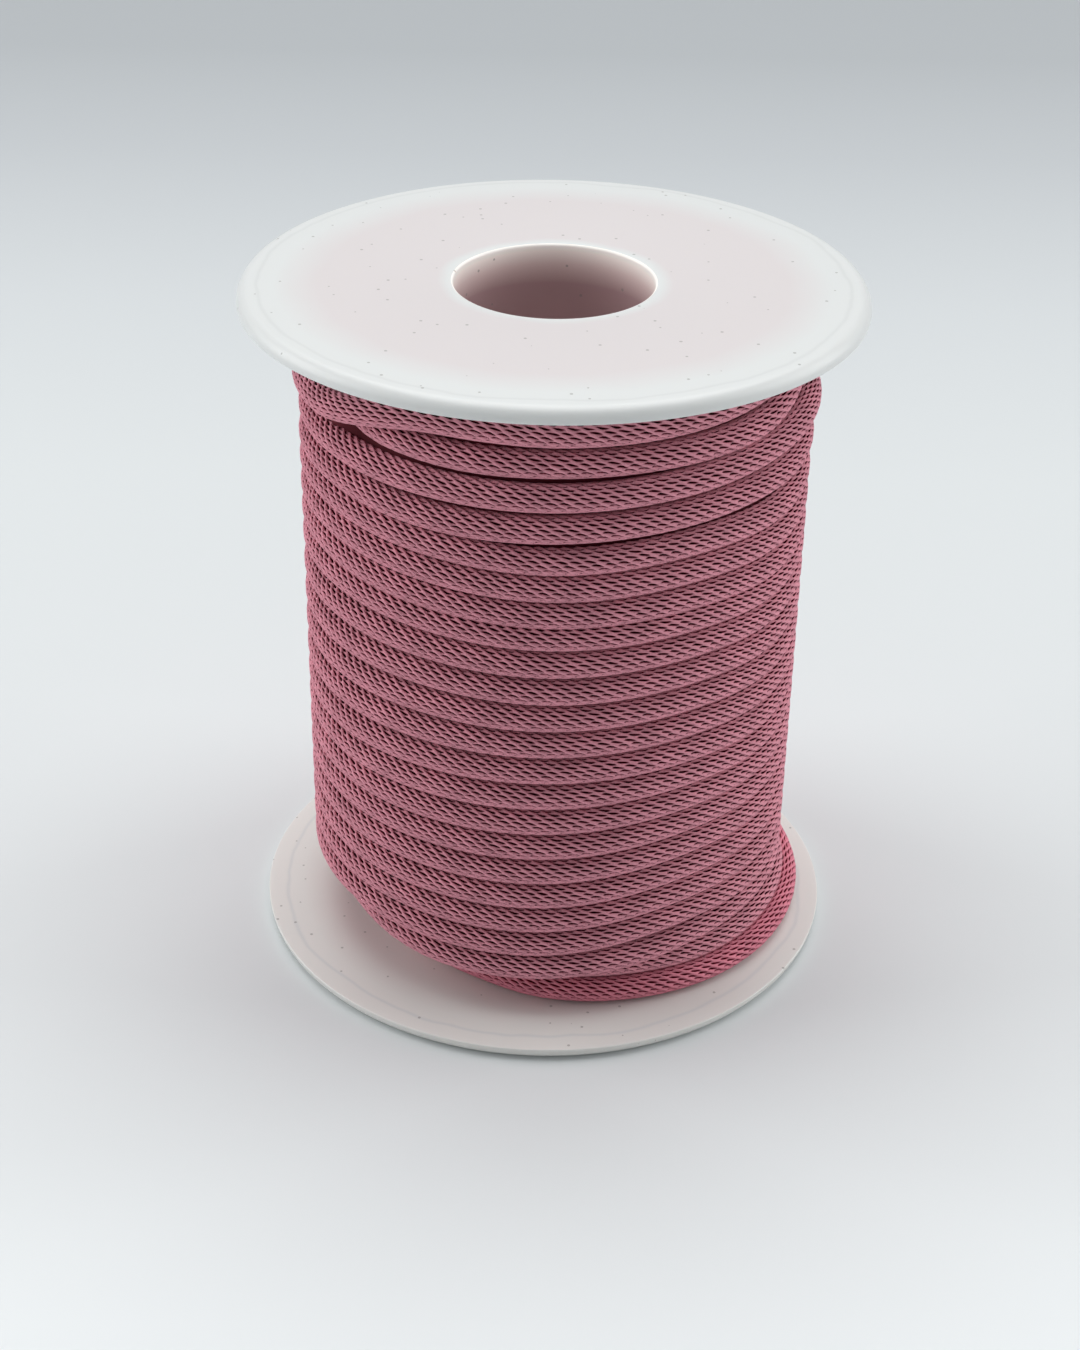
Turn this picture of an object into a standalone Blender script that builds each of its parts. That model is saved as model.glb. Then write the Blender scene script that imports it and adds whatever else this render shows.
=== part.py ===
"""A reel of soft jewellery cord: a two-piece moulded spool with one cord wound on it in layers.

The spool stands on its lower flange. The origin is the middle of that flange's underside and +Z is the
spool's axis. Sizes below are in millimetres, angles in degrees, and the meshes are made in metres.
Angle 0 is the front of the reel, towards -Y, and angles grow to the right, towards +X.
"""

import math
from collections import namedtuple

import bmesh
import bpy

MM = 0.001

# Spool
SPOOL_HEIGHT = 75.0
FLANGE_DIAMETER = 64.0
FLANGE_THICKNESS = 1.5
FLANGE_EDGE_RADIUS = 1.35
BORE_DIAMETER = 20.5
CORE_WALL = 1.3
CORE_FILLET = 1.0
BORE_EDGE_RADIUS = 0.3
JOINT_GAP = 0.3
SPOOL_STEPS = 64

# Cord and its winding
CORD_DIAMETER = 3.0
LAYER_RADIUS = 25.3
TURN_PITCH = 3.04
FIRST_EVEN_TURN = 3
LAST_EVEN_TURN = 18
OUT_OF_ROUND = 0.4
FIT_GAP = 0.3
STEPS_PER_TURN = 36
STEP_ANGLE = 360.0 / STEPS_PER_TURN

# Shape of the winding's outer face between two turns, as shares of the cord's radius
GROOVE_LIFT = 0.25
WIDE_GAP_LIFT = 0.42
FLANK_SHARE = math.sqrt(0.5)
SHOULDER_RADIUS = 24.4

Stop = namedtuple("Stop", "turn angle height radius")

# The lowest turns: the cord starts under the winding on the left, runs outward along the flange to the right,
# and climbs round the back into the even turns.
LOWEST_TURNS = [
    Stop(0, -90, 3.00, 18.4),
    Stop(0, -60, 3.00, 19.2),
    Stop(0, -20, 3.00, 20.8),
    Stop(0, 0, 3.00, 22.8),
    Stop(0, 22, 3.00, 24.5),
    Stop(0, 47, 3.00, 26.2),
    Stop(0, 70, 3.00, 27.2),
    Stop(0, 95, 3.00, 27.7),
    Stop(0, 150, 3.10, 27.2),
    Stop(0, 200, 3.90, 25.6),
    Stop(0, 250, 4.90, 23.2),
    Stop(1, -60, 5.70, 21.8),
    Stop(1, 0, 5.95, 22.7),
    Stop(1, 20, 5.90, 23.6),
    Stop(1, 40, 5.70, 24.8),
    Stop(1, 60, 5.50, 25.5),
    Stop(1, 90, 5.40, 25.9),
    Stop(1, 150, 5.90, 25.7),
    Stop(1, 200, 6.80, 25.2),
    Stop(1, 250, 7.90, 24.4),
    Stop(2, -60, 8.25, 24.0),
    Stop(2, -40, 7.65, 24.7),
    Stop(2, -25, 7.30, 25.1),
    Stop(2, 0, 7.50, 25.3),
    Stop(2, 20, 8.15, 25.3),
    Stop(2, 40, 8.85, 25.2),
    Stop(2, 90, 8.90, 25.3),
    Stop(2, 180, 9.50, 25.3),
    Stop(2, 250, 9.90, 25.3),
]

# Height of the cord's centre at the front, on the turns between which the pitch changes.
Front = namedtuple("Front", "turn height")
FRONT_HEIGHTS = [Front(3, 10.6), Front(15, 47.9), Front(16, 50.4), Front(19, 59.2)]

# How far the even turns rise above a plain helix at 65 and 30 degrees left of the front, and 35 and 65 right.
Wave = namedtuple("Wave", "turn left half_left half_right right")
WAVES = [
    Wave(3, 0.00, 0.00, 1.20, 0.25),
    Wave(7, -0.15, 0.00, 0.65, -0.10),
    Wave(10, -0.60, -0.10, 0.05, -0.85),
    Wave(13, 0.05, 0.35, 0.05, -0.90),
    Wave(16, 1.10, 0.60, 0.00, -0.85),
    Wave(18, 1.20, 0.65, 0.20, -0.60),
    Wave(19, 1.20, 0.65, 0.20, -0.60),
]

# The highest turns: the last one crosses the turn below it on the left and climbs to the upper flange.
HIGHEST_TURNS = [
    Stop(19, -60, 59.70, 25.3),
    Stop(19, -25, 59.50, 25.3),
    Stop(19, 0, 59.65, 25.3),
    Stop(19, 25, 60.00, 25.3),
    Stop(19, 48, 60.15, 25.3),
    Stop(19, 65, 60.00, 25.4),
    Stop(19, 90, 60.20, 25.4),
    Stop(19, 180, 61.20, 25.3),
    Stop(20, -60, 62.80, 25.2),
    Stop(20, -30, 62.95, 25.3),
    Stop(20, 0, 62.95, 25.3),
    Stop(20, 30, 63.40, 25.4),
    Stop(20, 60, 64.00, 25.7),
    Stop(20, 90, 64.30, 25.9),
    Stop(20, 180, 65.30, 25.7),
    Stop(20, 270, 66.30, 25.7),
    Stop(21, -60, 66.90, 26.0),
    Stop(21, -50, 67.80, 26.0),
    Stop(21, -40, 68.90, 25.9),
    Stop(21, -28, 69.80, 25.6),
    Stop(21, -12, 69.85, 25.4),
    Stop(21, 0, 69.70, 25.3),
    Stop(21, 30, 69.90, 25.2),
    Stop(21, 50, 70.20, 24.8),
    Stop(21, 70, 70.50, 24.2),
]

Finish = namedtuple("Finish", "colour roughness transmission")
PLASTIC = Finish((0.80, 0.81, 0.80), 0.38, 0.25)
YARN = Finish((0.47, 0.16, 0.20), 0.85, 0.0)


def clear_scene():
    """Empty the startup scene, so that only the reel's own objects stay."""
    for thing in list(bpy.data.objects):
        bpy.data.objects.remove(thing, do_unlink=True)


def make_material(name, finish):
    """One Principled material from a named finish."""
    material = bpy.data.materials.new(name)
    material.use_nodes = True
    shader = material.node_tree.nodes["Principled BSDF"]
    shader.inputs["Base Color"].default_value = (*finish.colour, 1.0)
    shader.inputs["Roughness"].default_value = finish.roughness
    shader.inputs["Transmission Weight"].default_value = finish.transmission
    return material


def add_object(name, mesh_builder, material):
    """Turn a finished bmesh into a named object with its material."""
    bmesh.ops.recalc_face_normals(mesh_builder, faces=mesh_builder.faces)
    mesh = bpy.data.meshes.new(name)
    mesh_builder.to_mesh(mesh)
    mesh_builder.free()
    mesh.materials.append(material)
    mesh.shade_smooth()
    mesh.set_sharp_from_angle(angle=math.radians(35))
    thing = bpy.data.objects.new(name, mesh)
    bpy.context.scene.collection.objects.link(thing)
    return thing


def rounded_outline(corners, arc_steps=4):
    """Replace each corner (radius, height, rounding) of a closed outline by an arc of its rounding."""
    outline = []
    for index, (x, z, rounding) in enumerate(corners):
        if rounding == 0.0:
            outline.append((x, z))
            continue
        before = corners[index - 1]
        after = corners[(index + 1) % len(corners)]
        towards = []
        for other in (before, after):
            length = math.hypot(other[0] - x, other[1] - z)
            towards.append(((other[0] - x) / length, (other[1] - z) / length))
        centre = (x + rounding * (towards[0][0] + towards[1][0]), z + rounding * (towards[0][1] + towards[1][1]))
        for step in range(arc_steps + 1):
            turn = math.radians(90.0 * step / arc_steps)
            outline.append(
                (
                    centre[0] - rounding * (towards[1][0] * math.cos(turn) + towards[0][0] * math.sin(turn)),
                    centre[1] - rounding * (towards[1][1] * math.cos(turn) + towards[0][1] * math.sin(turn)),
                )
            )
    return outline


def turned_solid(name, corners, material):
    """Spin a closed outline once round the spool's axis."""
    shape = bmesh.new()
    points = [shape.verts.new((x * MM, 0.0, z * MM)) for x, z in rounded_outline(corners)]
    edges = [shape.edges.new((points[i - 1], points[i])) for i in range(len(points))]
    bmesh.ops.spin(
        shape,
        geom=points + edges,
        cent=(0.0, 0.0, 0.0),
        axis=(0.0, 0.0, 1.0),
        angle=math.tau,
        steps=SPOOL_STEPS,
        use_merge=True,
    )
    bmesh.ops.remove_doubles(shape, verts=shape.verts, dist=1e-6)
    return add_object(name, shape, material)


def spool_half(name, flange_face, inward, material):
    """One moulding: a flange whose outer face is at the height flange_face, and half of the hollow core.

    inward is 1.0 where the core rises from the flange and -1.0 where it hangs from it.
    """
    bore = BORE_DIAMETER / 2
    core = bore + CORE_WALL
    rim = FLANGE_DIAMETER / 2
    flange_back = flange_face + inward * FLANGE_THICKNESS
    core_end = flange_face + inward * (SPOOL_HEIGHT - JOINT_GAP) / 2
    corners = [
        (bore, flange_face, BORE_EDGE_RADIUS),
        (rim, flange_face, FLANGE_EDGE_RADIUS),
        (rim, flange_back, 0.0),
        (core, flange_back, CORE_FILLET),
        (core, core_end, 0.0),
        (bore, core_end, 0.0),
    ]
    return turned_solid(name, corners, material)


def between(rows, turn, column):
    """One column of a table at any turn, on straight lines between its rows."""
    index = max(0, sum(1 for row in rows[1:-1] if row.turn <= turn))
    low, high = rows[index], rows[index + 1]
    share = (turn - low.turn) / (high.turn - low.turn)
    return getattr(low, column) + share * (getattr(high, column) - getattr(low, column))


def even_turn_stops(turn):
    """Stops of one even turn: the plain helix, and how far the turn waves above it."""
    left, right = between(WAVES, turn, "left"), between(WAVES, turn, "right")
    rises = (
        (-65, left),
        (-30, between(WAVES, turn, "half_left")),
        (0, 0.0),
        (35, between(WAVES, turn, "half_right")),
        (65, right),
        (120, right / 2),
        (180, 0.0),
        (240, left / 2),
    )
    return [
        (360.0 * turn + angle, between(FRONT_HEIGHTS, turn + angle / 360.0, "height") + rise, LAYER_RADIUS)
        for angle, rise in rises
    ]


def winding_stops():
    """All stops that the cord's centre line passes, as (angle along the cord, height, radius)."""
    stops = [(360.0 * s.turn + s.angle, s.height, s.radius) for s in LOWEST_TURNS]
    for turn in range(FIRST_EVEN_TURN, LAST_EVEN_TURN + 1):
        stops += even_turn_stops(turn)
    stops += [(360.0 * s.turn + s.angle, s.height, s.radius) for s in HIGHEST_TURNS]
    return stops


def smooth_route(stops):
    """A function that gives (radius, height) of the cord's centre at an angle along the cord."""
    slopes = []
    for index in range(len(stops)):
        before = stops[max(index - 1, 0)]
        after = stops[min(index + 1, len(stops) - 1)]
        run = after[0] - before[0]
        slopes.append(((after[1] - before[1]) / run, (after[2] - before[2]) / run))

    def centre(along):
        index = 0
        while index < len(stops) - 2 and stops[index + 1][0] <= along:
            index += 1
        start, end = stops[index], stops[index + 1]
        run = end[0] - start[0]
        t = min(1.0, max(0.0, (along - start[0]) / run))
        from_start = (1 + 2 * t) * (1 - t) ** 2
        slope_start = t * (1 - t) ** 2 * run
        slope_end = t * t * (t - 1) * run
        values = []
        for column in (1, 2):
            values.append(
                from_start * start[column]
                + (1 - from_start) * end[column]
                + slope_start * slopes[index][column - 1]
                + slope_end * slopes[index + 1][column - 1]
            )
        height, radius = values
        return radius + OUT_OF_ROUND * math.sin(math.radians(along)), height

    return centre


def ridge_points(centre, along, first, last):
    """(groove, lower flank, crest, upper flank) of one turn, each as (radius, height)."""
    cord_radius = CORD_DIAMETER / 2
    radius, height = centre(along)
    below = centre(along - 360.0) if along - 360.0 >= first else (radius, height - TURN_PITCH)
    above = centre(along + 360.0) if along + 360.0 <= last else (radius, height + TURN_PITCH)
    climb = math.hypot(above[0] - below[0], above[1] - below[1])
    up = ((above[0] - below[0]) / climb, (above[1] - below[1]) / climb)
    out = (up[1], -up[0])
    flank = FLANK_SHARE * cord_radius
    gap = math.hypot(radius - below[0], height - below[1])
    lift = cord_radius * (GROOVE_LIFT + WIDE_GAP_LIFT * max(0.0, gap / TURN_PITCH - 1))
    groove = ((radius + below[0]) / 2 + lift * out[0], (height + below[1]) / 2 + lift * out[1])
    lower = (radius + flank * (out[0] - up[0]), height + flank * (out[1] - up[1]))
    crest = (radius + cord_radius * out[0], height + cord_radius * out[1])
    upper = (radius + flank * (out[0] + up[0]), height + flank * (out[1] + up[1]))
    return groove, lower, crest, upper


def wound_cord(material):
    """The winding: a hollow body round the core, with each turn of the outer layer as a ridge.

    The outer face is one long strip that follows the cord. Its upper edge meets the lower edge of the same
    strip one turn further on. The first and the last turn are closed down to the bore and up to a shoulder.
    """
    stops = winding_stops()
    centre = smooth_route(stops)
    first, last = stops[0][0], stops[-1][0]
    count = round((last - first) / STEP_ANGLE)
    floor = FLANGE_THICKNESS + FIT_GAP
    ceiling = SPOOL_HEIGHT - FLANGE_THICKNESS - FIT_GAP
    bore = BORE_DIAMETER / 2 + CORE_WALL + FIT_GAP
    chamfer = CORE_FILLET

    shape = bmesh.new()

    def point(along, radius, height):
        turn = math.radians(along)
        height = min(ceiling, max(floor, height))
        return shape.verts.new((radius * math.sin(turn) * MM, -radius * math.cos(turn) * MM, height * MM))

    strip = []
    for step in range(count + 1):
        along = first + step * STEP_ANGLE
        strip.append([point(along, *place) for place in ridge_points(centre, along, first, last)])

    # Each quad joins two steps of the strip, and the upper flank joins the groove one turn on.
    for step in range(count):
        here, there = strip[step], strip[step + 1]
        rows = 4 if step + 1 + STEPS_PER_TURN <= count else 3
        if rows == 4:
            here = here + [strip[step + STEPS_PER_TURN][0]]
            there = there + [strip[step + 1 + STEPS_PER_TURN][0]]
        for row in range(rows):
            shape.faces.new((here[row], there[row], there[row + 1], here[row + 1]))

    # Rings that close the body: two at the bottom of the bore, then two at its top, then the shoulder.
    rings = []
    for radius, height in (
        (bore + chamfer, floor),
        (bore, floor + chamfer),
        (bore, ceiling - chamfer),
        (bore + chamfer, ceiling),
        (SHOULDER_RADIUS, ceiling),
    ):
        rings.append([point(first + step * STEP_ANGLE, radius, height) for step in range(STEPS_PER_TURN)])

    def ring_point(ring, step):
        return rings[ring][step % STEPS_PER_TURN]

    for step in range(STEPS_PER_TURN):
        for ring in range(len(rings) - 1):
            shape.faces.new(
                (
                    ring_point(ring, step),
                    ring_point(ring, step + 1),
                    ring_point(ring + 1, step + 1),
                    ring_point(ring + 1, step),
                )
            )
        shape.faces.new((ring_point(0, step), ring_point(0, step + 1), strip[step + 1][0], strip[step][0]))
    top = len(rings) - 1
    for step in range(count - STEPS_PER_TURN, count):
        shape.faces.new((strip[step][3], strip[step + 1][3], ring_point(top, step + 1), ring_point(top, step)))

    # The cut faces at the two ends of the strip.
    shape.faces.new([ring_point(0, 0)] + strip[0] + [strip[STEPS_PER_TURN][0]])
    before_last = strip[count - STEPS_PER_TURN][3]
    shape.faces.new([ring_point(top, count), before_last] + strip[count])
    return add_object("wound_cord", shape, material)


def main():
    clear_scene()
    plastic = make_material("moulded_polypropylene", PLASTIC)
    yarn = make_material("dusty_pink_yarn", YARN)
    spool_half("spool_lower", 0.0, 1.0, plastic)
    spool_half("spool_upper", SPOOL_HEIGHT, -1.0, plastic)
    wound_cord(yarn)


main()
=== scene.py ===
# %% [markdown]
# # A reel of twisted jewellery cord
# The real object is a hollow white plastic spool with about fourteen metres of soft dusty pink cord wound on it.
# The CAD model gives its sizes. This file gives its looks: the ribbed skin of the cord, turn by turn, and the
# milky plastic. Everything is in metres in the frame, so sizes in millimetres are multiplied by MM.

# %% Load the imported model
import math
from collections import namedtuple

import bmesh
import bpy
from mathutils import Matrix, Vector


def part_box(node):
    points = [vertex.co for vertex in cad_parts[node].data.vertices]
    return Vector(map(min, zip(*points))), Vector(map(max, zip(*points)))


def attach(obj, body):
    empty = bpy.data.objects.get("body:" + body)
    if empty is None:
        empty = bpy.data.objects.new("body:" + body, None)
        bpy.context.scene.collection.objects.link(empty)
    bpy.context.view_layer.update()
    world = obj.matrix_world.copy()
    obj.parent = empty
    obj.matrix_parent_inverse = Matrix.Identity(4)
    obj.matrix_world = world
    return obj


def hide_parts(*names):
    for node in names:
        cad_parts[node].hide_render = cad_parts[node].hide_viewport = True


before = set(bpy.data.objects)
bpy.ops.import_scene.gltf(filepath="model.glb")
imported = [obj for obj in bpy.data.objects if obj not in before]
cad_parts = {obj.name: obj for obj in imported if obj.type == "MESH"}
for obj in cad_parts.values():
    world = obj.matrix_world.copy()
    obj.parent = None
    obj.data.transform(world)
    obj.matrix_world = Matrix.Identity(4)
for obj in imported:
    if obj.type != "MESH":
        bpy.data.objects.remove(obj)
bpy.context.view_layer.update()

MM = 0.001
print("CAD nodes:", ", ".join(sorted(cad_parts)))

# %% [markdown]
# ## The camera
# The photograph was taken from a little above, and close, so the lower flange looks smaller than the upper one.
# The place, the slant and the lens below were worked out from the outlines of both flanges and of the hole.

# %% Place the camera
CAMERA_PLACE = Vector((0.0, -219.1, 159.2)) * MM
LOOK_DOWN = math.radians(30.824)
LOOK_LEFT = math.radians(0.208)
ROLL = math.radians(0.949)
LENS = 61.06

forward = Vector((-math.sin(LOOK_LEFT) * math.cos(LOOK_DOWN), math.cos(LOOK_LEFT) * math.cos(LOOK_DOWN),
                  -math.sin(LOOK_DOWN)))
level_right = forward.cross(Vector((0, 0, 1))).normalized()
level_up = level_right.cross(forward)
right = math.cos(ROLL) * level_right + math.sin(ROLL) * level_up
up = math.cos(ROLL) * level_up - math.sin(ROLL) * level_right

lens = bpy.data.cameras.new("camera")
lens.lens = LENS
lens.sensor_width = 36.0
lens.clip_start = 0.01
camera = bpy.data.objects.new("camera", lens)
turn = Matrix((right, up, -forward)).transposed().to_4x4()
camera.matrix_world = Matrix.Translation(CAMERA_PLACE) @ turn
bpy.context.scene.collection.objects.link(camera)
bpy.context.scene.camera = camera
print("camera", [round(v, 3) for v in camera.matrix_world.translation])

# %% [markdown]
# ## Two small helpers
# Colours are picked as sRGB hex values, the way a paint program shows them, and Blender's sockets want linear
# light. Node trees need many nodes, so one function adds a node, sets it up and links its inputs.

# %% Colours and nodes
def linear(hex_colour):
    """An sRGB hex colour as linear red, green, blue and alpha."""
    shares = [int(hex_colour[i:i + 2], 16) / 255 for i in (1, 3, 5)]
    return tuple(s / 12.92 if s <= 0.04045 else ((s + 0.055) / 1.055) ** 2.4 for s in shares) + (1.0,)


def add(tree, kind, inputs=None, **settings):
    """Add one node: settings are its properties, and each input is a value or a socket to link from."""
    node = tree.nodes.new(kind)
    for name, value in settings.items():
        setattr(node, name, value)
    for key, value in (inputs or {}).items():
        if isinstance(value, bpy.types.NodeSocket):
            tree.links.new(value, node.inputs[key])
        else:
            node.inputs[key].default_value = value
    return node


print("dusty pink in linear light:", [round(c, 3) for c in linear("#b8707f")])

# %% [markdown]
# ## The way of the cord
# One cord makes the whole outer layer: it starts low on the left, runs outward over the bottom flange, climbs in
# even turns and ends under the top flange. A short table of stops gives the uneven turns at both ends, and a rule
# gives the even ones. Angle 0 is the front and grows to the right. The CAD model uses the same stops.

# %% Stops of the outer layer
CORD_RADIUS = 1.44
LAYER_RADIUS = 25.3
OUT_OF_ROUND = 0.4

Stop = namedtuple("Stop", "turn angle height radius")

LOWEST_TURNS = [
    Stop(0, -90, 3.00, 18.4),
    Stop(0, -60, 3.00, 19.2),
    Stop(0, -20, 3.00, 20.8),
    Stop(0, 0, 3.00, 22.8),
    Stop(0, 22, 3.00, 24.5),
    Stop(0, 47, 3.00, 26.2),
    Stop(0, 70, 3.00, 27.2),
    Stop(0, 95, 3.00, 27.7),
    Stop(0, 150, 3.10, 27.2),
    Stop(0, 200, 3.90, 25.6),
    Stop(0, 250, 4.90, 23.2),
    Stop(1, -60, 5.70, 21.8),
    Stop(1, 0, 5.95, 22.7),
    Stop(1, 20, 5.90, 23.6),
    Stop(1, 40, 5.70, 24.8),
    Stop(1, 60, 5.50, 25.5),
    Stop(1, 90, 5.40, 25.9),
    Stop(1, 150, 5.90, 25.7),
    Stop(1, 200, 6.80, 25.2),
    Stop(1, 250, 7.90, 24.4),
    Stop(2, -60, 8.25, 24.0),
    Stop(2, -40, 7.65, 24.7),
    Stop(2, -25, 7.30, 25.1),
    Stop(2, 0, 7.50, 25.3),
    Stop(2, 20, 8.15, 25.3),
    Stop(2, 40, 8.85, 25.2),
    Stop(2, 90, 8.90, 25.3),
    Stop(2, 180, 9.50, 25.3),
    Stop(2, 250, 9.90, 25.3),
]

HIGHEST_TURNS = [
    Stop(19, -60, 59.70, 25.3),
    Stop(19, -25, 59.50, 25.3),
    Stop(19, 0, 59.65, 25.3),
    Stop(19, 25, 60.00, 25.3),
    Stop(19, 48, 60.15, 25.3),
    Stop(19, 65, 60.00, 25.4),
    Stop(19, 90, 60.20, 25.4),
    Stop(19, 180, 61.20, 25.3),
    Stop(20, -60, 62.80, 25.2),
    Stop(20, -30, 62.95, 25.3),
    Stop(20, 0, 62.95, 25.3),
    Stop(20, 30, 63.40, 25.4),
    Stop(20, 60, 64.00, 25.7),
    Stop(20, 90, 64.30, 25.9),
    Stop(20, 180, 65.30, 25.7),
    Stop(20, 270, 66.30, 25.7),
    Stop(21, -60, 66.90, 26.0),
    Stop(21, -50, 67.80, 26.0),
    Stop(21, -40, 68.90, 25.9),
    Stop(21, -28, 69.80, 25.6),
    Stop(21, -12, 69.85, 25.4),
    Stop(21, 0, 69.70, 25.3),
    Stop(21, 30, 69.90, 25.2),
    Stop(21, 50, 70.20, 24.8),
    Stop(21, 70, 70.50, 24.2),
    Stop(21, 100, 71.20, 22.6),
    Stop(21, 130, 71.60, 20.0),
]

# Height at the front of the turns between which the pitch changes.
Front = namedtuple("Front", "turn height")
FRONT_HEIGHTS = [Front(3, 10.6), Front(15, 47.9), Front(16, 50.4), Front(19, 59.2)]

# The even turns wave a little: rise above the plain helix at 65 and 30 degrees left, and 35 and 65 right.
Wave = namedtuple("Wave", "turn left half_left half_right right")
WAVES = [
    Wave(3, 0.00, 0.00, 1.20, 0.25),
    Wave(7, -0.15, 0.00, 0.65, -0.10),
    Wave(10, -0.60, -0.10, 0.05, -0.85),
    Wave(13, 0.05, 0.35, 0.05, -0.90),
    Wave(16, 1.10, 0.60, 0.00, -0.85),
    Wave(18, 1.20, 0.65, 0.20, -0.60),
    Wave(19, 1.20, 0.65, 0.20, -0.60),
]


def between(rows, turn, column):
    """A column of a table at any turn, on straight lines between its rows."""
    index = sum(1 for row in rows[1:-1] if row.turn <= turn)
    low, high = rows[index], rows[index + 1]
    share = (turn - low.turn) / (high.turn - low.turn)
    return getattr(low, column) + share * (getattr(high, column) - getattr(low, column))


def even_stops(turn):
    """Stops of one even turn: the plain helix and its wave."""
    rises = [(-65, between(WAVES, turn, "left")), (-30, between(WAVES, turn, "half_left")), (0, 0.0),
             (35, between(WAVES, turn, "half_right")), (65, between(WAVES, turn, "right")),
             (120, between(WAVES, turn, "right") / 2), (180, 0.0), (240, between(WAVES, turn, "left") / 2)]
    return [(360 * turn + angle, between(FRONT_HEIGHTS, turn + angle / 360, "height") + rise, LAYER_RADIUS)
            for angle, rise in rises]


def way_of(stops):
    """Points in millimetres, every 5 degrees, on a smooth curve through stops of (angle, height, radius)."""
    slopes = []
    for i in range(len(stops)):
        a, b = stops[max(i - 1, 0)], stops[min(i + 1, len(stops) - 1)]
        slopes.append(((b[1] - a[1]) / (b[0] - a[0]), (b[2] - a[2]) / (b[0] - a[0])))
    points, place = [], 0
    for along in range(int(stops[0][0]), int(stops[-1][0]) + 1, 5):
        while place < len(stops) - 2 and stops[place + 1][0] <= along:
            place += 1
        a, b = stops[place], stops[place + 1]
        run = b[0] - a[0]
        t = (along - a[0]) / run
        start, leave, arrive = (1 + 2 * t) * (1 - t) ** 2, t * (1 - t) ** 2 * run, t * t * (t - 1) * run
        height, radius = (
            start * a[k] + (1 - start) * b[k] + leave * slopes[place][k - 1] + arrive * slopes[place + 1][k - 1]
            for k in (1, 2)
        )
        angle = math.radians(along)
        radius += OUT_OF_ROUND * math.sin(angle)
        points.append(Vector((radius * math.sin(angle), -radius * math.cos(angle), height)))
    return points


outer_stops = [(360 * s.turn + s.angle, s.height, s.radius) for s in LOWEST_TURNS]
for even_turn in range(3, 19):
    outer_stops += even_stops(even_turn)
outer_stops += [(360 * s.turn + s.angle, s.height, s.radius) for s in HIGHEST_TURNS]
outer_way = way_of(outer_stops)
print("outer layer:", round(sum((b - a).length for a, b in zip(outer_way, outer_way[1:])) / 1000, 2), "m of cord")

# %% [markdown]
# One turn of the layer below shows in the long gap where the last turn climbs away from the one under it. It
# needs a way of its own, a little deeper in.

# %% Stops of the turn that shows from the layer below
UNDER_TURN = [
    Stop(0, -75, 67.70, 22.4),
    Stop(0, -60, 67.30, 23.4),
    Stop(0, -47, 66.90, 24.5),
    Stop(0, -40, 66.60, 24.8),
    Stop(0, -20, 66.20, 24.8),
    Stop(0, 0, 66.25, 24.7),
    Stop(0, 20, 66.40, 24.8),
    Stop(0, 43, 66.55, 25.1),
    Stop(0, 53, 66.80, 25.1),
    Stop(0, 60, 67.20, 24.9),
    Stop(0, 75, 68.20, 24.4),
    Stop(0, 90, 69.00, 24.2),
    Stop(0, 180, 70.00, 24.3),
    Stop(0, 270, 71.00, 24.3),
    Stop(0, 300, 71.40, 24.0),
]
under_way = way_of([(s.angle, s.height, s.radius) for s in UNDER_TURN])
print("turn below:", len(under_way), "points")

# %% [markdown]
# ## The ribs of the cord
# The skin of such a cord is a fine warp knit of thick, soft yarn. Its ribs run slantwise round the cord, from
# upper left to lower right, and between two ribs the bridges of yarn leave a row of small dark slots. That is a
# lattice, so one rule gives both the relief of the mesh and the colour: it counts ribs along the cord and slots
# round it. The same few nodes work in a Geometry Nodes tree and in a material.
#
# The real slots lie about 0.43 mm apart. Drawn so, they run together into straight lines at this size, so they
# are drawn 0.50 mm apart and the ribs a little steeper. Both values were chosen for that.

# %% One rule for ribs and slots
RIB_SPACING = 1.27
SLOT_SPACING = 0.50
RIB_SLANT = 0.58
RIB_SWAY = 0.10
RIB_WANDER = 0.30
CHANNEL_POWER = 1.5
SLOT_POWER = 1.6
THREADS_IN_A_RIB = 4


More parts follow.
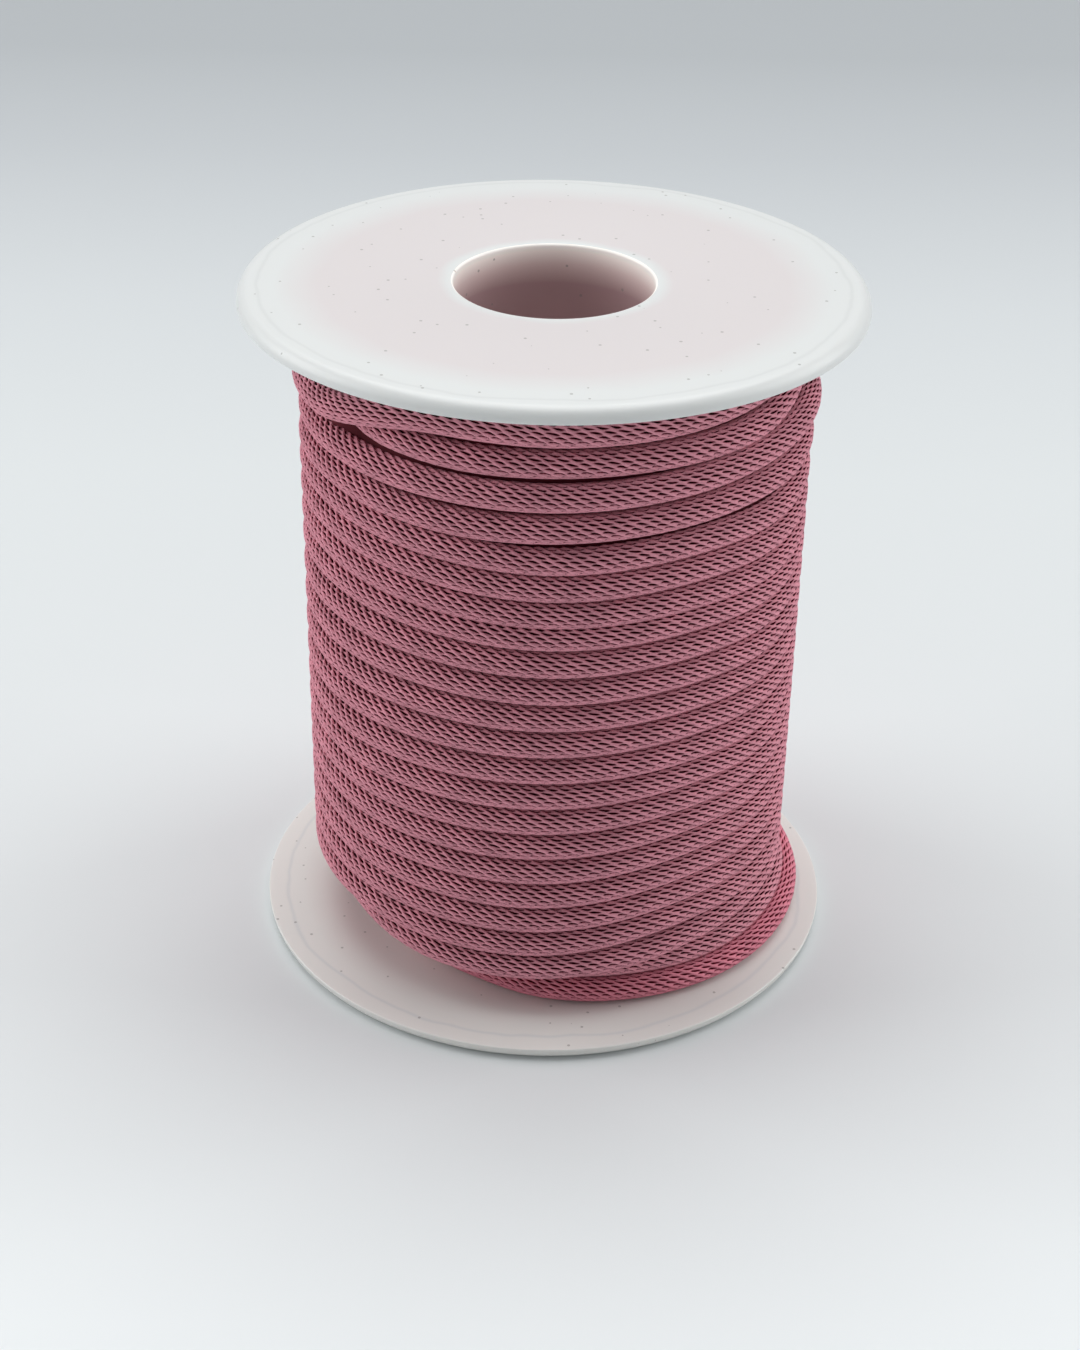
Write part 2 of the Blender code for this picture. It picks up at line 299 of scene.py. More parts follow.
def knit_depth(tree, along, around):
    """Sockets for depth, 0 on a rib and 1 in a slot, and for the count of ribs; both lengths are in mm."""
    spot = add(tree, "ShaderNodeCombineXYZ", {0: along, 1: around}).outputs[0]
    wander = add(tree, "ShaderNodeTexNoise", {"Vector": spot, "Scale": 0.9, "Detail": 1.0}).outputs["Fac"]
    uneven = add(tree, "ShaderNodeTexNoise", {"Vector": spot, "Scale": 2.1, "Detail": 0.0}).outputs["Fac"]
    slots = add(tree, "ShaderNodeMath", {0: around, 1: SLOT_SPACING}, operation="DIVIDE").outputs[0]
    slot_turn = add(tree, "ShaderNodeMath", {0: slots, 1: math.tau}, operation="MULTIPLY").outputs[0]

    # Ribs run slantwise, sway at each slot and wander a little.
    ribs = add(tree, "ShaderNodeMath", {0: wander, 1: RIB_WANDER, 2: -RIB_WANDER / 2}, operation="MULTIPLY_ADD")
    ribs = add(tree, "ShaderNodeMath", {0: slots, 1: RIB_SLANT, 2: ribs.outputs[0]}, operation="MULTIPLY_ADD")
    ribs = add(tree, "ShaderNodeMath", {0: along, 1: 1 / RIB_SPACING, 2: ribs.outputs[0]}, operation="MULTIPLY_ADD")
    sway = add(tree, "ShaderNodeMath", {0: slot_turn}, operation="SINE").outputs[0]
    ribs = add(tree, "ShaderNodeMath", {0: sway, 1: RIB_SWAY, 2: ribs.outputs[0]}, operation="MULTIPLY_ADD")
    ribs = ribs.outputs[0]
    rib_turn = add(tree, "ShaderNodeMath", {0: ribs, 1: math.tau}, operation="MULTIPLY").outputs[0]
    rib_wave = add(tree, "ShaderNodeMath", {0: rib_turn}, operation="COSINE").outputs[0]
    rib_wave = add(tree, "ShaderNodeMath", {0: rib_wave, 1: 0.5, 2: 0.5}, operation="MULTIPLY_ADD").outputs[0]
    channel = add(tree, "ShaderNodeMath", {0: rib_wave, 1: CHANNEL_POWER}, operation="POWER").outputs[0]

    # Bridges of yarn fill the channel between two slots, some more than others.
    slot_wave = add(tree, "ShaderNodeMath", {0: slot_turn}, operation="COSINE").outputs[0]
    slot_wave = add(tree, "ShaderNodeMath", {0: slot_wave, 1: 0.5, 2: 0.5}, operation="MULTIPLY_ADD").outputs[0]
    slot_wave = add(tree, "ShaderNodeMath", {0: slot_wave, 1: SLOT_POWER}, operation="POWER").outputs[0]
    strength = add(tree, "ShaderNodeMath", {0: uneven, 1: 1.3, 2: 0.55}, operation="MULTIPLY_ADD").outputs[0]
    open_share = add(tree, "ShaderNodeMath", {0: slot_wave, 1: strength, 2: 0.03}, operation="MULTIPLY_ADD")
    open_share = open_share.outputs[0]
    depth = add(tree, "ShaderNodeMath", {0: channel, 1: open_share}, operation="MULTIPLY").outputs[0]
    return depth, ribs


print("a rib every", RIB_SPACING, "mm along the cord, a slot every", SLOT_SPACING, "mm round it")

# %% [markdown]
# ## The yarn
# Spun polyester in dusty pink, quite matt. The ribs are pale, the slots sink to a deep wine because light gets
# lost between the yarns. Fine threads run along each rib; they are about 0.1 mm thick, too fine to show, so they
# are drawn at 0.2 mm. The first run at the foot gets a lit copy of the yarn, a purer pink with paler shade and
# slots: painted light.

# %% Material of the cord
def knitted_yarn(name, rib_hex, shade_hex, slot_hex):
    """Matt yarn whose ribs and slots follow the UV map, which holds millimetres along and round the cord."""
    material = bpy.data.materials.new(name)
    material.use_nodes = True
    tree = material.node_tree
    shader = tree.nodes["Principled BSDF"]
    shader.inputs["Roughness"].default_value = 0.82
    shader.inputs["Specular IOR Level"].default_value = 0.05

    place = add(tree, "ShaderNodeUVMap", uv_map="UVMap").outputs["UV"]
    parts = add(tree, "ShaderNodeSeparateXYZ", {0: place})
    depth, ribs = knit_depth(tree, parts.outputs[0], parts.outputs[1])
    threads = math.tau * THREADS_IN_A_RIB
    thread_turn = add(tree, "ShaderNodeMath", {0: ribs, 1: threads}, operation="MULTIPLY").outputs[0]
    thread = add(tree, "ShaderNodeMath", {0: thread_turn}, operation="SINE").outputs[0]
    fuzz = add(tree, "ShaderNodeTexNoise", {"Vector": place, "Scale": 5.0, "Detail": 3.0}).outputs["Fac"]
    patch = add(tree, "ShaderNodeTexNoise", {"Vector": place, "Scale": 0.35, "Detail": 1.0}).outputs["Fac"]

    ramp = add(tree, "ShaderNodeValToRGB", {0: depth})
    ramp.color_ramp.elements[0].position = 0.10
    ramp.color_ramp.elements[0].color = linear(rib_hex)
    ramp.color_ramp.elements[1].position = 0.80
    ramp.color_ramp.elements[1].color = linear(slot_hex)
    middle = ramp.color_ramp.elements.new(0.42)
    middle.color = linear(shade_hex)
    uneven = add(tree, "ShaderNodeMapRange", {0: patch, 1: 0.3, 2: 0.7, 3: 0.90, 4: 1.08}).outputs[0]
    thread_light = add(tree, "ShaderNodeMath", {0: thread, 1: 0.03, 2: uneven}, operation="MULTIPLY_ADD").outputs[0]
    colour = add(tree, "ShaderNodeVectorMath", {0: ramp.outputs[0], "Scale": thread_light}, operation="SCALE")
    tree.links.new(colour.outputs[0], shader.inputs["Base Color"])

    thread_rise = add(tree, "ShaderNodeMath", {0: thread, 1: 0.05, 2: fuzz}, operation="MULTIPLY_ADD").outputs[0]
    rise = add(tree, "ShaderNodeMath", {0: depth, 1: -2.0, 2: thread_rise}, operation="MULTIPLY_ADD").outputs[0]
    bump = add(tree, "ShaderNodeBump", {"Height": rise, "Strength": 0.8, "Distance": 0.14 * MM})
    tree.links.new(bump.outputs[0], shader.inputs["Normal"])
    return material


cord_yarn = knitted_yarn("spun_polyester_yarn", "#e29ba9", "#741a2e", "#200002")
# A lit copy of the same yarn for the first run at the foot: its purer pink and paler darks are painted light.
first_run_lit_yarn = knitted_yarn("spun_polyester_yarn_painted_light", "#e58fa0", "#a0354b", "#4a0410")
print("made", cord_yarn.name, "and", first_run_lit_yarn.name)

# %% [markdown]
# ## The tree that makes the cord's skin
# A sweep along a curve would give a straight grid, and slanting ribs would come out stepped. So the tree bends a
# flat grid round the way instead, and shears it until its lines run along the ribs. It closes each length of
# cord at the back with one flat strip, where the cord lies on the layer below.

# %% Geometry Nodes tree for a length of cord
INPUTS = [
    ("Start", "NodeSocketFloat"),
    ("Length", "NodeSocketFloat"),
    ("Columns", "NodeSocketInt"),
    ("Rows", "NodeSocketInt"),
    ("First Angle", "NodeSocketFloat"),
    ("Last Angle", "NodeSocketFloat"),
    ("Radius", "NodeSocketFloat"),
    ("Relief", "NodeSocketFloat"),
    ("Yarn", "NodeSocketMaterial"),
]


def cord_skin_tree():
    """Bend a sheared grid round a way of edges, sink its slots, and close the back."""
    tree = bpy.data.node_groups.new("cord_skin", "GeometryNodeTree")
    tree.interface.new_socket("Way", in_out="INPUT", socket_type="NodeSocketGeometry")
    for name, kind in INPUTS:
        tree.interface.new_socket(name, in_out="INPUT", socket_type=kind)
    tree.interface.new_socket("Cord", in_out="OUTPUT", socket_type="NodeSocketGeometry")
    given = add(tree, "NodeGroupInput").outputs

    # A grid of Columns by Rows, and one more row that returns to the first to close the back.
    columns = add(tree, "ShaderNodeMath", {0: given["Columns"], 1: 1.0}).outputs[0]
    rows = add(tree, "ShaderNodeMath", {0: given["Rows"], 1: 2.0}).outputs[0]
    grid = add(tree, "GeometryNodeMeshGrid",
               {"Size X": 1.0, "Size Y": 1.0, "Vertices X": columns, "Vertices Y": rows}).outputs["Mesh"]
    flat = add(tree, "ShaderNodeSeparateXYZ", {0: add(tree, "GeometryNodeInputPosition").outputs[0]})
    across = add(tree, "ShaderNodeMath", {0: flat.outputs[0], 1: 0.5}).outputs[0]
    upward = add(tree, "ShaderNodeMath", {0: flat.outputs[1], 1: 0.5}).outputs[0]
    stretch = add(tree, "ShaderNodeMath", {0: 1.0, 1: given["Rows"]}, operation="DIVIDE").outputs[0]
    stretch = add(tree, "ShaderNodeMath", {0: stretch, 1: 1.0}).outputs[0]
    upward = add(tree, "ShaderNodeMath", {0: upward, 1: stretch}, operation="MULTIPLY").outputs[0]
    in_front = add(tree, "ShaderNodeMath", {0: upward, 1: 1.0001}, operation="LESS_THAN").outputs[0]
    share = add(tree, "ShaderNodeMath", {0: upward, 1: in_front}, operation="MULTIPLY").outputs[0]

    # Angle round the cord, then both lengths in millimetres. The shear keeps the grid on the ribs.
    angle = add(tree, "ShaderNodeMapRange", {0: share, 3: given["First Angle"], 4: given["Last Angle"]}).outputs[0]
    around = add(tree, "ShaderNodeMath", {0: angle, 1: given["Radius"]}, operation="MULTIPLY").outputs[0]
    run = add(tree, "ShaderNodeMath", {0: across, 1: given["Length"], 2: given["Start"]},
              operation="MULTIPLY_ADD").outputs[0]
    shear = -RIB_SLANT * RIB_SPACING / SLOT_SPACING
    along = add(tree, "ShaderNodeMath", {0: around, 1: shear, 2: run}, operation="MULTIPLY_ADD").outputs[0]
    lengths = add(tree, "ShaderNodeCombineXYZ", {0: along, 1: around, 2: angle}).outputs[0]
    kept = add(tree, "GeometryNodeCaptureAttribute", {"Geometry": grid})
    kept.capture_items.new("VECTOR", "lengths")
    tree.links.new(lengths, kept.inputs["lengths"])
    mine = add(tree, "ShaderNodeSeparateXYZ", {0: kept.outputs["lengths"]}).outputs

    # The frame of the way at that length: out from the spool's axis, and up across the turn.
    way = add(tree, "GeometryNodeMeshToCurve", {"Mesh": given["Way"]}).outputs[0]
    metres = add(tree, "ShaderNodeMath", {0: mine[0], 1: MM}, operation="MULTIPLY").outputs[0]
    spot = add(tree, "GeometryNodeSampleCurve", {"Curves": way, "Length": metres}, mode="LENGTH").outputs
    level = add(tree, "ShaderNodeVectorMath", {0: spot["Position"], 1: (1, 1, 0)}, operation="MULTIPLY").outputs[0]
    out = add(tree, "ShaderNodeVectorMath", {0: level}, operation="NORMALIZE").outputs[0]
    side = add(tree, "ShaderNodeVectorMath", {0: out, 1: spot["Tangent"]}, operation="CROSS_PRODUCT").outputs[0]
    side = add(tree, "ShaderNodeVectorMath", {0: side}, operation="NORMALIZE").outputs[0]

    # Radius of the skin there: full on the ribs, less in the slots.
    depth, _ = knit_depth(tree, mine[0], mine[1])
    sink = add(tree, "ShaderNodeMath", {0: depth, 1: given["Relief"]}, operation="MULTIPLY").outputs[0]
    skin = add(tree, "ShaderNodeMath", {0: given["Radius"], 1: sink}, operation="SUBTRACT").outputs[0]
    skin = add(tree, "ShaderNodeMath", {0: skin, 1: MM}, operation="MULTIPLY").outputs[0]
    cosine = add(tree, "ShaderNodeMath", {0: mine[2]}, operation="COSINE").outputs[0]
    sine = add(tree, "ShaderNodeMath", {0: mine[2]}, operation="SINE").outputs[0]
    out = add(tree, "ShaderNodeVectorMath", {0: out, "Scale": cosine}, operation="SCALE").outputs[0]
    side = add(tree, "ShaderNodeVectorMath", {0: side, "Scale": sine}, operation="SCALE").outputs[0]
    away = add(tree, "ShaderNodeVectorMath", {0: out, 1: side}, operation="ADD").outputs[0]
    away = add(tree, "ShaderNodeVectorMath", {0: away, "Scale": skin}, operation="SCALE").outputs[0]
    place = add(tree, "ShaderNodeVectorMath", {0: spot["Position"], 1: away}, operation="ADD").outputs[0]

    bent = add(tree, "GeometryNodeSetPosition", {"Geometry": kept.outputs["Geometry"], "Position": place})
    mapped = add(tree, "GeometryNodeStoreNamedAttribute",
                 {"Geometry": bent.outputs[0], "Name": "UVMap", "Value": kept.outputs["lengths"]},
                 data_type="FLOAT2", domain="CORNER")
    welded = add(tree, "GeometryNodeMergeByDistance", {"Geometry": mapped.outputs[0], "Distance": 1e-6})
    smooth = add(tree, "GeometryNodeSetShadeSmooth", {"Geometry": welded.outputs[0]})
    plain = add(tree, "GeometryNodeRealizeInstances", {"Geometry": smooth.outputs[0]})
    done = add(tree, "GeometryNodeSetMaterial", {"Geometry": plain.outputs[0], "Material": given["Yarn"]})
    add(tree, "NodeGroupOutput", {"Cord": done.outputs[0]})
    return tree


cord_skin = cord_skin_tree()
print("cord_skin has", len(cord_skin.nodes), "nodes")

# %% [markdown]
# ## Winding the cord
# The tree runs once for each length of the way, so that no piece gets too heavy. The even turns press on each
# other, so only their outer half shows and needs a skin. The first and last turns stand free and get more of it.

# %% Run the tree on lengths of the way
COLUMN_WIDTH = RIB_SPACING / 7


def way_object(name, points):
    """The way as a plain chain of edges, in metres, for the tree to read."""
    mesh = bpy.data.meshes.new(name)
    mesh.from_pydata([p * MM for p in points], [(i, i + 1) for i in range(len(points) - 1)], [])
    thing = bpy.data.objects.new(name, mesh)
    bpy.context.scene.collection.objects.link(thing)
    return thing


def wind(name, way, start, end, slots_shown, material, relief=0.36):
    """One length of cord on the way, from start to end in mm, as a finished piece that stands for the winding.

    slots_shown is the number of slots round the cord that get a skin. Two rows of the grid to a slot, one on the
    slot and one on the bridge, keep the whole relief with few faces.
    """
    columns = round((end - start) / COLUMN_WIDTH)
    half_angle = slots_shown / 2 * SLOT_SPACING / CORD_RADIUS
    values = {"Start": start, "Length": end - start, "Columns": columns, "Rows": 2 * slots_shown,
              "First Angle": -half_angle, "Last Angle": half_angle,
              "Radius": CORD_RADIUS, "Relief": relief, "Yarn": material}
    modifier = way.modifiers.new("cord_skin", "NODES")
    modifier.node_group = cord_skin
    for item in cord_skin.interface.items_tree:
        if item.name in values:
            modifier[item.identifier] = values[item.name]
    way.update_tag()
    graph = bpy.context.evaluated_depsgraph_get()
    mesh = bpy.data.meshes.new_from_object(way.evaluated_get(graph))
    way.modifiers.remove(modifier)
    mesh.name = name
    piece = bpy.data.objects.new(name, mesh)
    bpy.context.scene.collection.objects.link(piece)
    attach(piece, "root")
    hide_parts("wound_cord")
    print(name, len(mesh.vertices), "points,", round(end - start), "mm of cord")
    return piece


def length_to(points, angle):
    """Length of the way in mm from its start to an angle along it, with a point every 5 degrees."""
    last = round((angle - outer_stops[0][0]) / 5)
    return sum((b - a).length for a, b in zip(points[:last], points[1:last + 1]))


outer_route = way_object("outer_route", outer_way)
SLACK = 4.0
cuts = [SLACK] + [length_to(outer_way, 360 * n - 60) for n in (3, 7, 11, 15, 19)]
cuts.append(length_to(outer_way, outer_stops[-1][0]) - SLACK)
first_cut = length_to(outer_way, 180)
wind("cord_first_run", outer_route, cuts[0], first_cut, 15, first_run_lit_yarn)
wind("cord_lowest_turns", outer_route, first_cut, cuts[1], 15, cord_yarn)
wind("cord_even_turns_1", outer_route, cuts[1], cuts[2], 10, cord_yarn)
wind("cord_even_turns_2", outer_route, cuts[2], cuts[3], 10, cord_yarn)
wind("cord_even_turns_3", outer_route, cuts[3], cuts[4], 10, cord_yarn)
wind("cord_even_turns_4", outer_route, cuts[4], cuts[5], 10, cord_yarn)
wind("cord_highest_turns", outer_route, cuts[5], cuts[6], 15, cord_yarn)
under_route = way_object("under_route", under_way)
under_length = sum((b - a).length for a, b in zip(under_way, under_way[1:]))
wind("cord_turn_below", under_route, SLACK, under_length - SLACK, 13, cord_yarn)

# %% [markdown]
# ## What lies behind the turns
# Between two turns the eye meets the deeper layers of the same cord, in near darkness. A wall of yarn just behind
# the middle of the outer turns closes those gaps, coloured dark wine as painted shade, and a lid at each end closes
# the winding.

# %% The deeper layers
BACKING_DEPTH = 0.55
deep_yarn = bpy.data.materials.new("yarn_in_deep_shade")
deep_yarn.use_nodes = True
deep_tree = deep_yarn.node_tree
deep_shader = deep_tree.nodes["Principled BSDF"]
deep_shader.inputs["Roughness"].default_value = 0.9
deep_spot = add(deep_tree, "ShaderNodeTexCoord").outputs["Object"]
deep_noise = add(deep_tree, "ShaderNodeTexNoise", {"Vector": deep_spot, "Scale": 900.0, "Detail": 2.0})
deep_shade_ramp = add(deep_tree, "ShaderNodeValToRGB", {0: deep_noise.outputs["Fac"]})
# Painted shade: the deeper layers are the same dusty pink cord, coloured here as dark as they look in shadow.
deep_shade_ramp.color_ramp.elements[0].color = linear("#4a0814")
deep_shade_ramp.color_ramp.elements[1].color = linear("#6e1426")
deep_tree.links.new(deep_shade_ramp.outputs[0], deep_shader.inputs["Base Color"])


def deeper_layers():
    """A wall that follows the outer turns from behind, closed to the core at the top and at the bottom."""
    shape = bmesh.new()
    steps = 72
    rings = []
    ring_heights = [1.9] + [z for z in range(3, 73, 2)] + [73.1]
    columns = [[] for _ in range(steps)]
    for p in outer_way + under_way:
        column = round(math.degrees(math.atan2(p.x, -p.y)) / 5) % steps
        columns[column].append((p.z, math.hypot(p.x, p.y)))
    for height in ring_heights:
        ring = []
        for column in range(steps):
            turn_near = min(columns[column], key=lambda turn: abs(turn[0] - height))
            radius = turn_near[1] - BACKING_DEPTH
            angle = math.radians(5 * column)
            ring.append(shape.verts.new((radius * math.sin(angle) * MM, -radius * math.cos(angle) * MM, height * MM)))
        rings.append(ring)
    for height, place in ((73.1, len(rings)), (1.9, 0)):
        inner = [shape.verts.new((12.6 * math.sin(math.radians(5 * c)) * MM,
                                  -12.6 * math.cos(math.radians(5 * c)) * MM, height * MM)) for c in range(steps)]
        rings.insert(place, inner)
    rings.append(rings[0])
    for low, high in zip(rings, rings[1:]):
        for c in range(steps):
            shape.faces.new((low[c], low[(c + 1) % steps], high[(c + 1) % steps], high[c]))
    bmesh.ops.recalc_face_normals(shape, faces=shape.faces)
    mesh = bpy.data.meshes.new("deeper_layers")
    shape.to_mesh(mesh)
    shape.free()
    mesh.materials.append(deep_yarn)
    mesh.shade_smooth()
    return bpy.data.objects.new("deeper_layers", mesh)


inner_layers = deeper_layers()
bpy.context.scene.collection.objects.link(inner_layers)
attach(inner_layers, "root")
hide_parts("wound_cord")
for route in (outer_route, under_route):
    bpy.data.objects.remove(route)
print("deeper layers:", len(inner_layers.data.polygons), "faces")

# %% [markdown]
# ## The plastic of the spool
# Injection-moulded polypropylene, a few tenths of a millimetre to a millimetre and a half thick. It is milky, so
# what lies behind it shows as a tint: the winding gives a pink disc on the flange, and the bore looks mauve. Only
# the rim, and a narrow ring round the hole where the core's wall stands, stay white. All of these are rings, so
# their colour follows the distance from the axis.

# %% Material of the spool
def milky_plastic(name, rim_hex, through_hex):
    """White polypropylene, tinted where the winding lies behind it, with specks of dust."""
    material = bpy.data.materials.new(name)
    material.use_nodes = True
    tree = material.node_tree
    shader = tree.nodes["Principled BSDF"]
    shader.inputs["Roughness"].default_value = 0.36
    shader.inputs["IOR"].default_value = 1.49
    shader.inputs["Subsurface Weight"].default_value = 0.25
    shader.inputs["Subsurface Radius"].default_value = (1.0, 0.95, 0.9)
    shader.inputs["Subsurface Scale"].default_value = 0.8 * MM

    place = add(tree, "ShaderNodeTexCoord").outputs["Object"]
    in_mm = add(tree, "ShaderNodeVectorMath", {0: place, "Scale": 1 / MM}, operation="SCALE").outputs[0]
    parts = add(tree, "ShaderNodeSeparateXYZ", {0: in_mm}).outputs
    flat = add(tree, "ShaderNodeVectorMath", {0: in_mm, 1: (1, 1, 0)}, operation="MULTIPLY").outputs[0]
    wander = add(tree, "ShaderNodeTexNoise", {"Vector": in_mm, "Scale": 0.12, "Detail": 2.0}).outputs["Fac"]
    plain_radius = add(tree, "ShaderNodeVectorMath", {0: flat}, operation="LENGTH").outputs["Value"]
    radius = add(tree, "ShaderNodeMath", {0: wander, 1: 1.6, 2: plain_radius}, operation="MULTIPLY_ADD").outputs[0]

    # Rings over the flange: white round the hole, tinted over the winding, white at the rim, and a faint grey
    # line where the flat face ends.
    rings = add(tree, "ShaderNodeValToRGB", {0: add(tree, "ShaderNodeMapRange", {0: radius, 2: 40.0}).outputs[0]})
    stops = rings.color_ramp.elements
    stops[0].position, stops[0].color = 11.6 / 40, linear(rim_hex)
    stops[1].position, stops[1].color = 28.9 / 40, linear(rim_hex)
    tinted = ((12.7, through_hex), (24.6, through_hex))
    edge_line = ((30.4, rim_hex), (30.7, "#d5d7d6"), (31.0, rim_hex))
    for ring_mm, colour in tinted + edge_line:
        stop = stops.new(ring_mm / 40)
        stop.color = linear(colour)

    # Inside the bore the colour darkens downwards from the white edge: painted shade deeper in the hole, over the
    # mauve tint of the winding behind the thin wall.
    below = add(tree, "ShaderNodeMapRange", {0: parts[2], 1: 74.6, 2: 66.0}).outputs[0]
    bore = add(tree, "ShaderNodeValToRGB", {0: below})
    bore.color_ramp.elements[0].color = linear("#fffaf4")
    bore.color_ramp.elements[1].color = linear("#c4a7a9")
    bore.color_ramp.elements.new(0.20).color = linear("#dcc9c6")
    bore.color_ramp.elements.new(0.45).color = linear("#b39698")
    in_bore = add(tree, "ShaderNodeMath", {0: plain_radius, 1: 10.45}, operation="LESS_THAN").outputs[0]
    tint = add(tree, "ShaderNodeMix", {0: in_bore, 6: rings.outputs[0], 7: bore.outputs[0]}, data_type="RGBA")

    # Light that the milky wall carries down from the flange: strong at the edge of the bore, gone 4 mm below it.
    glow = add(tree, "ShaderNodeValToRGB", {0: below})
    glow.color_ramp.elements[0].color = linear("#4c4845")
    glow.color_ramp.elements[1].color = linear("#000000")
    glow.color_ramp.elements[1].position = 0.50
    glow.color_ramp.elements.new(0.25).color = linear("#241d1c")
    inner_glow = add(tree, "ShaderNodeMix", {0: in_bore, 6: linear("#000000"), 7: glow.outputs[0]}, data_type="RGBA")
    tree.links.new(inner_glow.outputs[2], shader.inputs["Emission Color"])
    shader.inputs["Emission Strength"].default_value = 1.0

    # Specks of dust, each about a third of a millimetre, scattered thinly.
    dust = add(tree, "ShaderNodeTexVoronoi", {"Vector": in_mm, "Scale": 0.55, "Randomness": 1.0})
    near = add(tree, "ShaderNodeMath", {0: dust.outputs["Distance"], 1: 0.09}, operation="LESS_THAN").outputs[0]
    chosen = add(tree, "ShaderNodeSeparateColor", {0: dust.outputs["Color"]}).outputs[0]
    chosen = add(tree, "ShaderNodeMath", {0: chosen, 1: 0.35}, operation="GREATER_THAN").outputs[0]
    speck = add(tree, "ShaderNodeMath", {0: near, 1: chosen}, operation="MULTIPLY").outputs[0]
    speck = add(tree, "ShaderNodeMath", {0: speck, 1: 0.6}, operation="MULTIPLY").outputs[0]
    dusty = add(tree, "ShaderNodeMix", {0: speck, 6: tint.outputs[2], 7: linear("#8d8a86")}, data_type="RGBA")
    tree.links.new(dusty.outputs[2], shader.inputs["Base Color"])

    # Handling leaves the surface slightly uneven: a shallow ripple 4 mm wide and a finer grain of 0.5 mm.
    ripple = add(tree, "ShaderNodeTexNoise", {"Vector": in_mm, "Scale": 0.25, "Detail": 3.0}).outputs["Fac"]
    bump = add(tree, "ShaderNodeBump", {"Height": ripple, "Strength": 0.15, "Distance": 0.1 * MM})
    tree.links.new(bump.outputs[0], shader.inputs["Normal"])
    return material


upper_plastic = milky_plastic("moulded_polypropylene_top", "#dddfde", "#dad4d4")
lower_plastic = milky_plastic("moulded_polypropylene_foot", "#e3e2de", "#ddd4d1")
print("made", upper_plastic.name, "and", lower_plastic.name)

# %% [markdown]
# ## The two mouldings of the spool
# Each half is a turned shape: a thin flange with rounded edges on half of the hollow core. The CAD solids have
# flat facets round the rim, which show in a gloss, so finer turned shapes with the same outline replace them.

# %% Turn the two halves
def rounded(corners, steps=6):
    """A closed outline of (radius, height, rounding) corners, each square corner replaced by an arc."""
    outline = []
    for i, (x, z, rounding) in enumerate(corners):
        before, after = corners[i - 1], corners[(i + 1) % len(corners)]
        to_before = Vector((before[0] - x, before[1] - z)).normalized()
        to_after = Vector((after[0] - x, after[1] - z)).normalized()
        centre = Vector((x, z)) + rounding * (to_before + to_after)
        for step in range(steps + 1 if rounding else 1):
            turn = math.radians(90 * step / steps)
            outline.append(centre - rounding * (to_after * math.cos(turn) + to_before * math.sin(turn)))
    return outline


def spool_half(name, face, inward, node, material):
    """A flange with its outer face at height face, on half of the core, finely turned round the axis."""
    low, high = sorted(p for p in (node[0][2] / MM, node[1][2] / MM))
    end = high if inward > 0 else low
    corners = [(10.25, face, 0.3), (32.0, face, 1.35), (32.0, face + inward * 1.5, 0.1),
               (11.55, face + inward * 1.5, 1.0), (11.55, end, 0.0), (10.25, end, 0.0)]
    shape = bmesh.new()
    ring = [shape.verts.new((p[0] * MM, 0, p[1] * MM)) for p in rounded(corners)]
    edges = [shape.edges.new((ring[i - 1], ring[i])) for i in range(len(ring))]
    bmesh.ops.spin(shape, geom=ring + edges, axis=(0, 0, 1), angle=math.tau, steps=192, use_merge=True)
    bmesh.ops.remove_doubles(shape, verts=shape.verts, dist=1e-6)
    bmesh.ops.recalc_face_normals(shape, faces=shape.faces)
    mesh = bpy.data.meshes.new(name)
    shape.to_mesh(mesh)
    shape.free()
    mesh.materials.append(material)
    mesh.shade_smooth()
    mesh.set_sharp_from_angle(angle=math.radians(30))
    piece = bpy.data.objects.new(name, mesh)
    bpy.context.scene.collection.objects.link(piece)
    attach(piece, "root")
    print(name, "faces:", len(mesh.polygons))
    return piece


upper_half = spool_half("spool_top_moulding", 75.0, -1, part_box("spool_upper"), upper_plastic)
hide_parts("spool_upper")
lower_half = spool_half("spool_foot_moulding", 0.0, 1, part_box("spool_lower"), lower_plastic)
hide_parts("spool_lower")

# %% [markdown]
# ## Floor and light
# The ground is seamless and pale under very soft light, with a brighter band behind the reel and a greyer top. A
# wide sheet curves up at the back, and that slow change of light is painted into its colour as painted light and
# shade. Large lamps above and behind give the light edges of the winding.

# %% A seamless ground
def ground():
    """A sheet that lies flat under the reel and curves up far behind it."""
    shape = bmesh.new()
    rows = [(-1.5, 0.0), (0.9, 0.0)]
    for degrees in range(10, 91, 10):
        turn = math.radians(degrees)
        rows.append((0.9 + 0.5 * math.sin(turn), 0.5 - 0.5 * math.cos(turn)))
    rows.append((1.4, 2.5))
    lines = [[shape.verts.new((x, y, z)) for x in (-2.5, 2.5)] for y, z in rows]
    for a, b in zip(lines, lines[1:]):
        shape.faces.new((a[0], a[1], b[1], b[0]))
    mesh = bpy.data.meshes.new("ground")
    shape.to_mesh(mesh)
    shape.free()
    mesh.shade_smooth()
    return bpy.data.objects.new("ground", mesh)


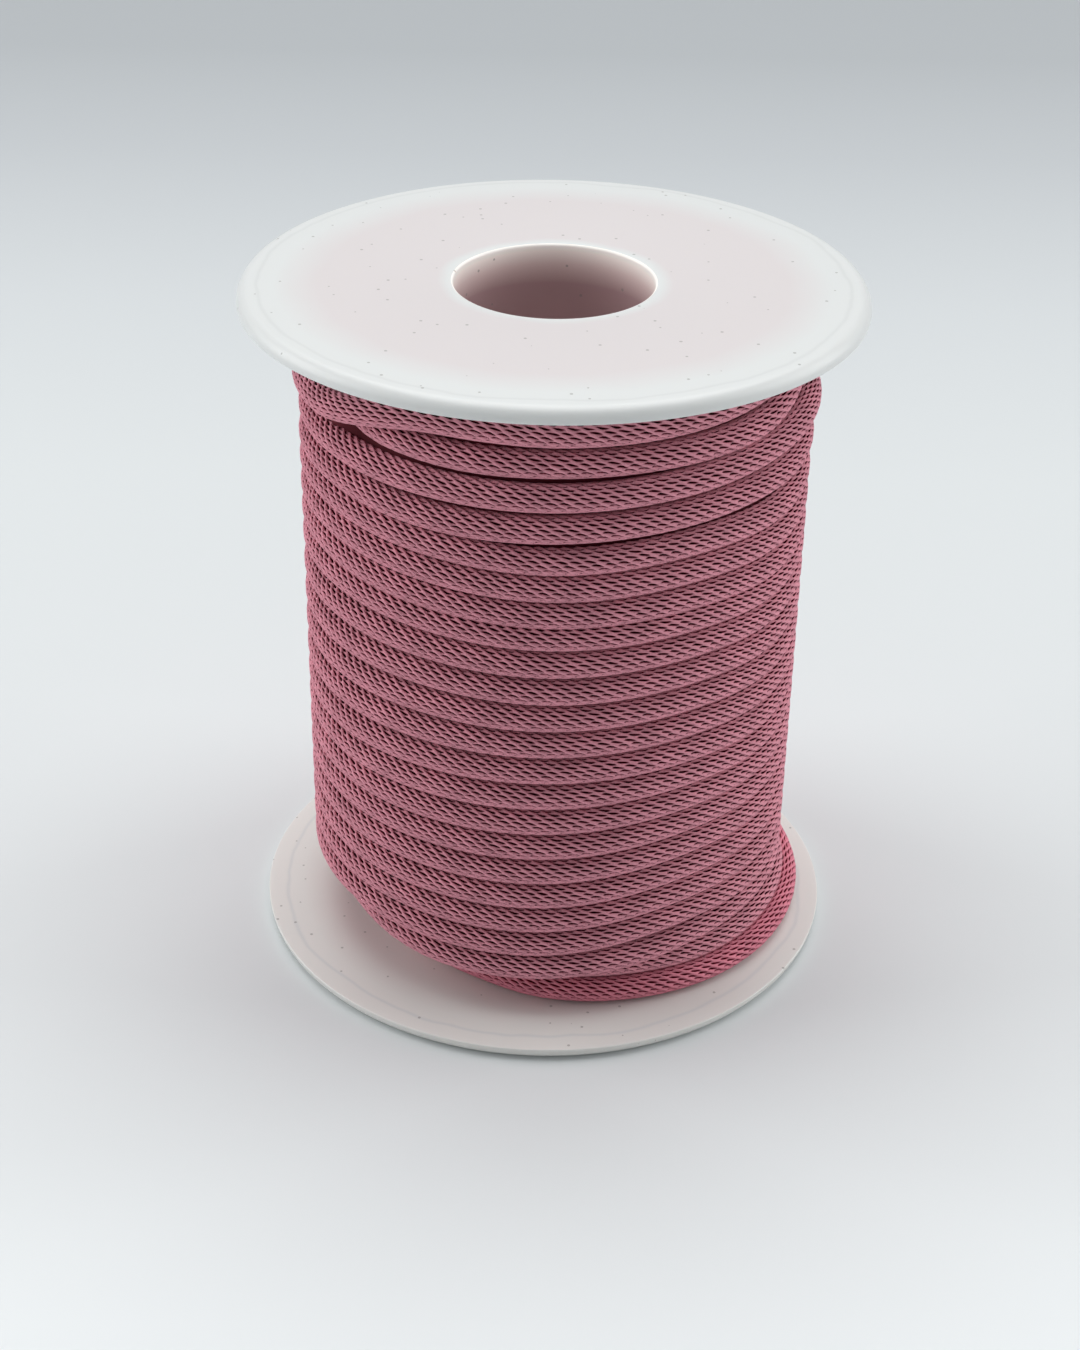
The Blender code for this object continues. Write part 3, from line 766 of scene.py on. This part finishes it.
sheet = ground()
bpy.context.scene.collection.objects.link(sheet)
paper = bpy.data.materials.new("matt_white_paper")
paper.use_nodes = True
paper_tree = paper.node_tree
paper_shader = paper_tree.nodes["Principled BSDF"]
paper_shader.inputs["Roughness"].default_value = 0.9
paper_shader.inputs["Specular IOR Level"].default_value = 0.1
paper_spot = add(paper_tree, "ShaderNodeSeparateXYZ", {0: add(paper_tree, "ShaderNodeTexCoord").outputs["Object"]})
paper_share = add(paper_tree, "ShaderNodeMapRange", {0: paper_spot.outputs[1], 1: -0.1, 2: 0.5}).outputs[0]
# Painted light and shade: the white paper is coloured greyer towards the back and up the curve, as the light falls
# off.
painted_falloff_ramp = add(paper_tree, "ShaderNodeValToRGB", {0: paper_share})
painted_falloff_ramp.color_ramp.elements[0].position = 0.05
painted_falloff_ramp.color_ramp.elements[0].color = linear("#e5e9ea")
painted_falloff_ramp.color_ramp.elements[1].position = 0.75
painted_falloff_ramp.color_ramp.elements[1].color = linear("#abafb2")
for share, colour in ((0.09, "#dfe3e4"), (0.16, "#dbdfe0"), (0.24, "#d3d7d8"), (0.35, "#d0d4d5"),
                      (0.47, "#c7cbcd"), (0.62, "#b6babd")):
    painted_falloff_ramp.color_ramp.elements.new(share).color = linear(colour)
paper_tree.links.new(painted_falloff_ramp.outputs[0], paper_shader.inputs["Base Color"])
sheet.data.materials.append(paper)
print("ground from", tuple(round(v, 2) for v in sheet.bound_box[0]))

# %% Lamps and sky
Lamp = namedtuple("Lamp", "name place size power")
LAMPS = [
    Lamp("overhead", (0.0, 0.30, 0.95), 1.0, 8.2),
    Lamp("right_back", (0.80, 0.15, 0.40), 0.6, 3.7),
    Lamp("left_back", (-0.80, 0.10, 0.40), 0.6, 4.1),
    Lamp("front", (0.1, -1.0, 0.25), 0.8, 0.85),
]
for lamp in LAMPS:
    light = bpy.data.lights.new(lamp.name, "AREA")
    light.size = lamp.size
    light.energy = lamp.power
    thing = bpy.data.objects.new(lamp.name, light)
    thing.location = lamp.place
    thing.rotation_euler = (Vector((0, 0, 0.04)) - thing.location).to_track_quat("-Z", "Y").to_euler()
    bpy.context.scene.collection.objects.link(thing)
sky = bpy.data.worlds.new("soft_room")
sky.use_nodes = True
sky.node_tree.nodes["Background"].inputs[0].default_value = linear("#eef2f5")
sky.node_tree.nodes["Background"].inputs[1].default_value = 0.25
bpy.context.scene.world = sky
bpy.context.scene.view_settings.view_transform = "Standard"
print("lamps:", ", ".join(lamp.name for lamp in LAMPS))
